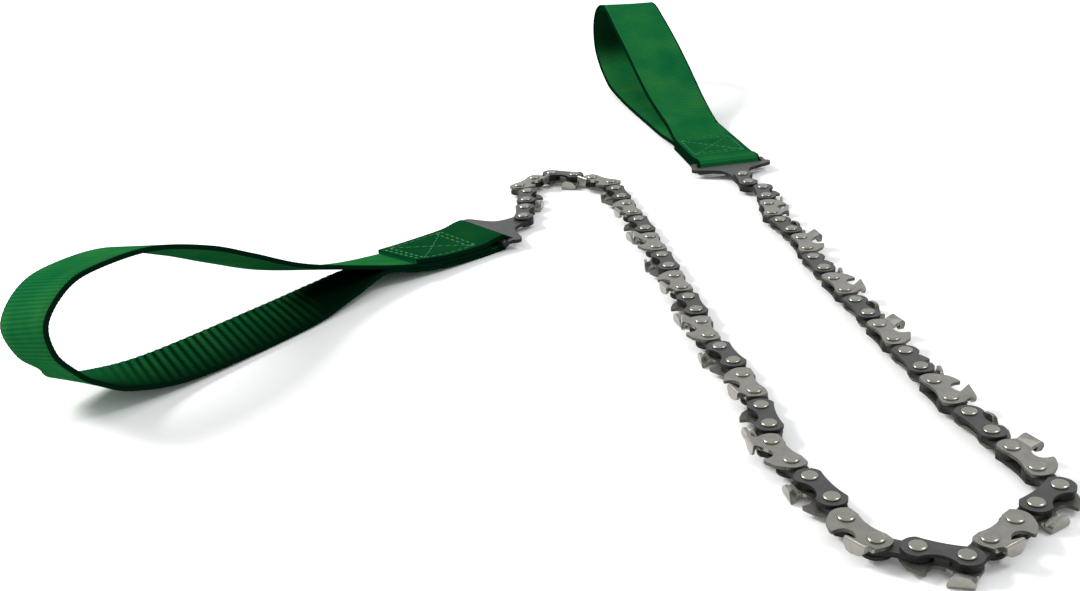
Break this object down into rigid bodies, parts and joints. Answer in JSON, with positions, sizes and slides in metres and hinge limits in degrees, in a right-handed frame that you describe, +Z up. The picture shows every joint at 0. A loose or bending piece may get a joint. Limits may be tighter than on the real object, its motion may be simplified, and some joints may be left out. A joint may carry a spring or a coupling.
{
  "type": "pocket chainsaw",
  "caption": "Hand-pulled pocket saw: a riveted cutter chain laid in a bend, with a steel bracket and a flat webbing hand loop at each end.",
  "frame": {"origin": "middle of the object's box, on the surface it lies on", "axes": "+Z up from the surface; +Y from the near bend of the chain towards the right handle; +X right"},
  "size_m": [0.2667, 0.4467, 0.0434],
  "materials": {
    "webbing": "woven",
    "dark_steel": "blackened",
    "plated_steel": "satin nickel"
  },
  "bodies": {
    "right_webbing_loop": {"right_webbing_loop": "webbing"},
    "right_bracket": {"right_bracket": "dark_steel"},
    "right_end_link": {"right_end_link": "dark_steel"},
    "centre_link_01": {"centre_link_01": "dark_steel"},
    "cutter_link_01": {"cutter_link_01": "plated_steel"},
    "centre_link_02": {"centre_link_02": "dark_steel"},
    "cutter_link_02": {"cutter_link_02": "plated_steel"},
    "centre_link_03": {"centre_link_03": "dark_steel"},
    "cutter_link_03": {"cutter_link_03": "plated_steel"},
    "cutter_link_04": {"cutter_link_04": "plated_steel"},
    "centre_link_05": {"centre_link_05": "dark_steel"},
    "cutter_link_05": {"cutter_link_05": "plated_steel"},
    "cutter_link_06": {"cutter_link_06": "plated_steel"},
    "centre_link_07": {"centre_link_07": "dark_steel"},
    "cutter_link_07": {"cutter_link_07": "plated_steel"},
    "cutter_link_08": {"cutter_link_08": "plated_steel"},
    "centre_link_09": {"centre_link_09": "dark_steel"},
    "cutter_link_09": {"cutter_link_09": "plated_steel"},
    "cutter_link_10": {"cutter_link_10": "plated_steel"},
    "centre_link_11": {"centre_link_11": "dark_steel"},
    "cutter_link_11": {"cutter_link_11": "plated_steel"},
    "cutter_link_12": {"cutter_link_12": "plated_steel"},
    "centre_link_13": {"centre_link_13": "dark_steel"},
    "cutter_link_13": {"cutter_link_13": "plated_steel"},
    "cutter_link_14": {"cutter_link_14": "plated_steel"},
    "centre_link_15": {"centre_link_15": "dark_steel"},
    "cutter_link_15": {"cutter_link_15": "plated_steel"},
    "cutter_link_16": {"cutter_link_16": "plated_steel"},
    "centre_link_17": {"centre_link_17": "dark_steel"},
    "cutter_link_17": {"cutter_link_17": "plated_steel"},
    "cutter_link_18": {"cutter_link_18": "plated_steel"},
    "centre_link_19": {"centre_link_19": "dark_steel"},
    "cutter_link_19": {"cutter_link_19": "plated_steel"},
    "cutter_link_20": {"cutter_link_20": "plated_steel"},
    "centre_link_21": {"centre_link_21": "dark_steel"},
    "cutter_link_21": {"cutter_link_21": "plated_steel"},
    "cutter_link_22": {"cutter_link_22": "plated_steel"},
    "centre_link_23": {"centre_link_23": "dark_steel"},
    "cutter_link_23": {"cutter_link_23": "plated_steel"},
    "cutter_link_24": {"cutter_link_24": "plated_steel"},
    "centre_link_25": {"centre_link_25": "dark_steel"},
    "cutter_link_25": {"cutter_link_25": "plated_steel"},
    "cutter_link_26": {"cutter_link_26": "plated_steel"},
    "centre_link_27": {"centre_link_27": "dark_steel"},
    "cutter_link_27": {"cutter_link_27": "plated_steel"},
    "cutter_link_28": {"cutter_link_28": "plated_steel"},
    "centre_link_29": {"centre_link_29": "dark_steel"},
    "cutter_link_29": {"cutter_link_29": "plated_steel"},
    "centre_link_30": {"centre_link_30": "dark_steel"},
    "cutter_link_30": {"cutter_link_30": "plated_steel"},
    "centre_link_31": {"centre_link_31": "dark_steel"},
    "cutter_link_31": {"cutter_link_31": "plated_steel"},
    "centre_link_32": {"centre_link_32": "dark_steel"},
    "cutter_link_32": {"cutter_link_32": "plated_steel"},
    "centre_link_33": {"centre_link_33": "dark_steel"},
    "cutter_link_33": {"cutter_link_33": "plated_steel"},
    "centre_link_34": {"centre_link_34": "dark_steel"},
    "left_end_link": {"left_end_link": "dark_steel"},
    "left_bracket": {"left_bracket": "dark_steel"},
    "left_webbing_loop": {"left_webbing_loop": "webbing"}
  },
  "joints": [
    {"name": "right_webbing_loop_swing", "type": "hinge", "parent": "right_bracket", "child": "right_webbing_loop", "pos_m": [0.09632, 0.06481, 0.0029], "axis": [0.9903, 0.1392, 0], "range_deg": [-80, 80]},
    {"name": "right_bracket_turn", "type": "hinge", "parent": "right_end_link", "child": "right_bracket", "pos_m": [0.0991, 0.045, 0.0031], "axis": [0, 0, 1], "range_deg": [-45, 45]},
    {"name": "right_end_link_turn", "type": "hinge", "parent": "centre_link_01", "child": "right_end_link", "pos_m": [0.09945, 0.03501, 0.0031], "axis": [0, 0, -1], "range_deg": [-20, 20]},
    {"name": "centre_link_01_turn", "type": "hinge", "parent": "cutter_link_01", "child": "centre_link_01", "pos_m": [0.10375, 0.02756, 0.0031], "axis": [0, 0, -1], "range_deg": [-20, 40]},
    {"name": "cutter_link_01_turn", "type": "hinge", "parent": "centre_link_02", "child": "cutter_link_01", "pos_m": [0.10305, 0.01758, 0.0031], "axis": [0, 0, -1], "range_deg": [-18, 18]},
    {"name": "centre_link_02_turn", "type": "hinge", "parent": "cutter_link_02", "child": "centre_link_02", "pos_m": [0.10245, 0.009, 0.0031], "axis": [0, 0, 1], "range_deg": [-18, 18]},
    {"name": "cutter_link_02_turn", "type": "hinge", "parent": "centre_link_03", "child": "cutter_link_02", "pos_m": [0.10175, -0.00097, 0.0031], "axis": [0, 0, 1], "range_deg": [-18, 18]},
    {"name": "centre_link_03_turn", "type": "hinge", "parent": "cutter_link_03", "child": "centre_link_03", "pos_m": [0.10295, -0.00949, 0.0031], "axis": [0, 0, 1], "range_deg": [-18, 18]},
    {"name": "cutter_link_03_turn", "type": "hinge", "parent": "cutter_link_04", "child": "cutter_link_03", "pos_m": [0.1065, -0.02775, 0.0031], "axis": [0, 0, -1], "range_deg": [-18, 18]},
    {"name": "cutter_link_04_turn", "type": "hinge", "parent": "centre_link_05", "child": "cutter_link_04", "pos_m": [0.1065, -0.03775, 0.0031], "axis": [0, 0, 1], "range_deg": [-18, 17]},
    {"name": "centre_link_05_turn", "type": "hinge", "parent": "cutter_link_05", "child": "centre_link_05", "pos_m": [0.1065, -0.04635, 0.0031], "axis": [0, 0, -1], "range_deg": [-15, 18]},
    {"name": "cutter_link_05_turn", "type": "hinge", "parent": "cutter_link_06", "child": "cutter_link_05", "pos_m": [0.10877, -0.06481, 0.0031], "axis": [0, 0, 1], "range_deg": [-18, 13]},
    {"name": "cutter_link_06_turn", "type": "hinge", "parent": "centre_link_07", "child": "cutter_link_06", "pos_m": [0.10999, -0.07473, 0.0031], "axis": [0, 0, -1], "range_deg": [-11, 18]},
    {"name": "centre_link_07_turn", "type": "hinge", "parent": "cutter_link_07", "child": "centre_link_07", "pos_m": [0.11103, -0.08327, 0.0031], "axis": [0, 0, 1], "range_deg": [-18, 11]},
    {"name": "cutter_link_07_turn", "type": "hinge", "parent": "cutter_link_08", "child": "cutter_link_07", "pos_m": [0.1133, -0.10173, 0.0031], "axis": [0, 0, -1], "range_deg": [-9, 18]},
    {"name": "cutter_link_08_turn", "type": "hinge", "parent": "centre_link_09", "child": "cutter_link_08", "pos_m": [0.11452, -0.11166, 0.0031], "axis": [0, 0, 1], "range_deg": [-18, 9]},
    {"name": "centre_link_09_turn", "type": "hinge", "parent": "cutter_link_09", "child": "centre_link_09", "pos_m": [0.11557, -0.12019, 0.0031], "axis": [0, 0, -1], "range_deg": [-7, 18]},
    {"name": "cutter_link_09_turn", "type": "hinge", "parent": "cutter_link_10", "child": "cutter_link_09", "pos_m": [0.11783, -0.13865, 0.0031], "axis": [0, 0, 1], "range_deg": [-18, 7]},
    {"name": "cutter_link_10_turn", "type": "hinge", "parent": "centre_link_11", "child": "cutter_link_10", "pos_m": [0.11905, -0.14858, 0.0031], "axis": [0, 0, -1], "range_deg": [-7, 18]},
    {"name": "centre_link_11_turn", "type": "hinge", "parent": "cutter_link_11", "child": "centre_link_11", "pos_m": [0.12099, -0.15696, 0.0031], "axis": [0, 0, -1], "range_deg": [-7, 18]},
    {"name": "cutter_link_11_turn", "type": "hinge", "parent": "cutter_link_12", "child": "cutter_link_11", "pos_m": [0.12517, -0.17508, 0.0031], "axis": [0, 0, -1], "range_deg": [-5, 18]},
    {"name": "cutter_link_12_turn", "type": "hinge", "parent": "centre_link_13", "child": "cutter_link_12", "pos_m": [0.12742, -0.18483, 0.0031], "axis": [0, 0, 1], "range_deg": [-18, 5]},
    {"name": "centre_link_13_turn", "type": "hinge", "parent": "cutter_link_13", "child": "centre_link_13", "pos_m": [0.12936, -0.1932, 0.0031], "axis": [0, 0, -1], "range_deg": [-5, 70]},
    {"name": "cutter_link_13_turn", "type": "hinge", "parent": "cutter_link_14", "child": "cutter_link_13", "pos_m": [0.11511, -0.20516, 0.0031], "axis": [0, 0, 1], "range_deg": [-18, 5]},
    {"name": "centre_link_15_turn", "type": "hinge", "parent": "cutter_link_14", "child": "centre_link_15", "pos_m": [0.10745, -0.21159, 0.0031], "axis": [0, 0, 1], "range_deg": [-5, 18]},
    {"name": "cutter_link_15_turn", "type": "hinge", "parent": "centre_link_15", "child": "cutter_link_15", "pos_m": [0.10086, -0.21712, 0.0031], "axis": [0, 0, -1], "range_deg": [-75, 5]},
    {"name": "cutter_link_16_turn", "type": "hinge", "parent": "cutter_link_15", "child": "cutter_link_16", "pos_m": [0.08429, -0.20867, 0.0031], "axis": [0, 0, 1], "range_deg": [-5, 50]},
    {"name": "centre_link_17_turn", "type": "hinge", "parent": "cutter_link_16", "child": "centre_link_17", "pos_m": [0.08006, -0.19961, 0.0031], "axis": [0, 0, -1], "range_deg": [-30, 5]},
    {"name": "cutter_link_17_turn", "type": "hinge", "parent": "centre_link_17", "child": "cutter_link_17", "pos_m": [0.07886, -0.19109, 0.0031], "axis": [0, 0, 1], "range_deg": [-7, 18]},
    {"name": "cutter_link_18_turn", "type": "hinge", "parent": "cutter_link_17", "child": "cutter_link_18", "pos_m": [0.07342, -0.17331, 0.0031], "axis": [0, 0, -1], "range_deg": [-18, 7]},
    {"name": "centre_link_19_turn", "type": "hinge", "parent": "cutter_link_18", "child": "centre_link_19", "pos_m": [0.0705, -0.16374, 0.0031], "axis": [0, 0, -1], "range_deg": [-18, 7]},
    {"name": "cutter_link_19_turn", "type": "hinge", "parent": "centre_link_19", "child": "cutter_link_19", "pos_m": [0.07155, -0.15521, 0.0031], "axis": [0, 0, -1], "range_deg": [-18, 7]},
    {"name": "cutter_link_20_turn", "type": "hinge", "parent": "cutter_link_19", "child": "cutter_link_20", "pos_m": [0.07122, -0.13661, 0.0031], "axis": [0, 0, 1], "range_deg": [-9, 18]},
    {"name": "centre_link_21_turn", "type": "hinge", "parent": "cutter_link_20", "child": "centre_link_21", "pos_m": [0.06983, -0.12671, 0.0031], "axis": [0, 0, -1], "range_deg": [-18, 9]},
    {"name": "cutter_link_21_turn", "type": "hinge", "parent": "centre_link_21", "child": "cutter_link_21", "pos_m": [0.06864, -0.11819, 0.0031], "axis": [0, 0, 1], "range_deg": [-9, 18]},
    {"name": "cutter_link_22_turn", "type": "hinge", "parent": "cutter_link_21", "child": "cutter_link_22", "pos_m": [0.06445, -0.10007, 0.0031], "axis": [0, 0, 1], "range_deg": [-11, 18]},
    {"name": "centre_link_23_turn", "type": "hinge", "parent": "cutter_link_22", "child": "centre_link_23", "pos_m": [0.06393, -0.09008, 0.0031], "axis": [0, 0, -1], "range_deg": [-18, 13]},
    {"name": "cutter_link_23_turn", "type": "hinge", "parent": "centre_link_23", "child": "cutter_link_23", "pos_m": [0.06348, -0.08149, 0.0031], "axis": [0, 0, 1], "range_deg": [-13, 18]},
    {"name": "cutter_link_24_turn", "type": "hinge", "parent": "cutter_link_23", "child": "cutter_link_24", "pos_m": [0.06153, -0.06299, 0.0031], "axis": [0, 0, 1], "range_deg": [-15, 18]},
    {"name": "centre_link_25_turn", "type": "hinge", "parent": "cutter_link_24", "child": "centre_link_25", "pos_m": [0.06049, -0.05305, 0.0031], "axis": [0, 0, -1], "range_deg": [-18, 17]},
    {"name": "cutter_link_25_turn", "type": "hinge", "parent": "centre_link_25", "child": "cutter_link_25", "pos_m": [0.05959, -0.0445, 0.0031], "axis": [0, 0, 1], "range_deg": [-18, 18]},
    {"name": "cutter_link_26_turn", "type": "hinge", "parent": "cutter_link_25", "child": "cutter_link_26", "pos_m": [0.05765, -0.026, 0.0031], "axis": [0, 0, -1], "range_deg": [-18, 18]},
    {"name": "centre_link_27_turn", "type": "hinge", "parent": "cutter_link_26", "child": "centre_link_27", "pos_m": [0.0566, -0.01605, 0.0031], "axis": [0, 0, 1], "range_deg": [-18, 18]},
    {"name": "cutter_link_27_turn", "type": "hinge", "parent": "centre_link_27", "child": "cutter_link_27", "pos_m": [0.0557, -0.0075, 0.0031], "axis": [0, 0, 1], "range_deg": [-18, 18]},
    {"name": "cutter_link_28_turn", "type": "hinge", "parent": "cutter_link_27", "child": "cutter_link_28", "pos_m": [0.05311, 0.01092, 0.0031], "axis": [0, 0, 1], "range_deg": [-18, 18]},
    {"name": "centre_link_29_turn", "type": "hinge", "parent": "cutter_link_28", "child": "centre_link_29", "pos_m": [0.05172, 0.02082, 0.0031], "axis": [0, 0, -1], "range_deg": [-18, 18]},
    {"name": "cutter_link_29_turn", "type": "hinge", "parent": "centre_link_29", "child": "cutter_link_29", "pos_m": [0.05052, 0.02934, 0.0031], "axis": [0, 0, -1], "range_deg": [-18, 18]},
    {"name": "centre_link_30_turn", "type": "hinge", "parent": "cutter_link_29", "child": "centre_link_30", "pos_m": [0.04913, 0.03924, 0.0031], "axis": [0, 0, -1], "range_deg": [-18, 18]},
    {"name": "cutter_link_30_turn", "type": "hinge", "parent": "centre_link_30", "child": "cutter_link_30", "pos_m": [0.04794, 0.04776, 0.0031], "axis": [0, 0, 1], "range_deg": [-45, 12]},
    {"name": "centre_link_31_turn", "type": "hinge", "parent": "cutter_link_30", "child": "centre_link_31", "pos_m": [0.04112, 0.05507, 0.0031], "axis": [0, 0, 1], "range_deg": [-15, 10]},
    {"name": "cutter_link_31_turn", "type": "hinge", "parent": "centre_link_31", "child": "cutter_link_31", "pos_m": [0.03425, 0.06025, 0.0031], "axis": [0, 0, -1], "range_deg": [-10, 15]},
    {"name": "centre_link_32_turn", "type": "hinge", "parent": "cutter_link_31", "child": "centre_link_32", "pos_m": [0.02534, 0.06479, 0.0031], "axis": [0, 0, -1], "range_deg": [-2, 75]},
    {"name": "cutter_link_32_turn", "type": "hinge", "parent": "centre_link_32", "child": "cutter_link_32", "pos_m": [0.01829, 0.05985, 0.0031], "axis": [0, 0, 1], "range_deg": [-25, 4]},
    {"name": "centre_link_33_turn", "type": "hinge", "parent": "cutter_link_32", "child": "centre_link_33", "pos_m": [0.01227, 0.05187, 0.0031], "axis": [0, 0, -1], "range_deg": [-6, 60]},
    {"name": "cutter_link_33_turn", "type": "hinge", "parent": "centre_link_33", "child": "cutter_link_33", "pos_m": [0.01507, 0.04373, 0.0031], "axis": [0, 0, -1], "range_deg": [-20, 30]},
    {"name": "centre_link_34_turn", "type": "hinge", "parent": "cutter_link_33", "child": "centre_link_34", "pos_m": [0.01438, 0.03376, 0.0031], "axis": [0, 0, -1], "range_deg": [-18, 18]},
    {"name": "left_end_link_turn", "type": "hinge", "parent": "centre_link_34", "child": "left_end_link", "pos_m": [0.01378, 0.02518, 0.0031], "axis": [0, 0, 1], "range_deg": [-18, 18]},
    {"name": "left_bracket_turn", "type": "hinge", "parent": "left_end_link", "child": "left_bracket", "pos_m": [0.01308, 0.0152, 0.0031], "axis": [0, 0, -1], "range_deg": [-45, 45]},
    {"name": "left_webbing_loop_swing", "type": "hinge", "parent": "left_bracket", "child": "left_webbing_loop", "pos_m": [-0.00246, 0.00262, 0.0029], "axis": [-0.6293, 0.7771, 0], "range_deg": [-80, 80]}
  ]
}
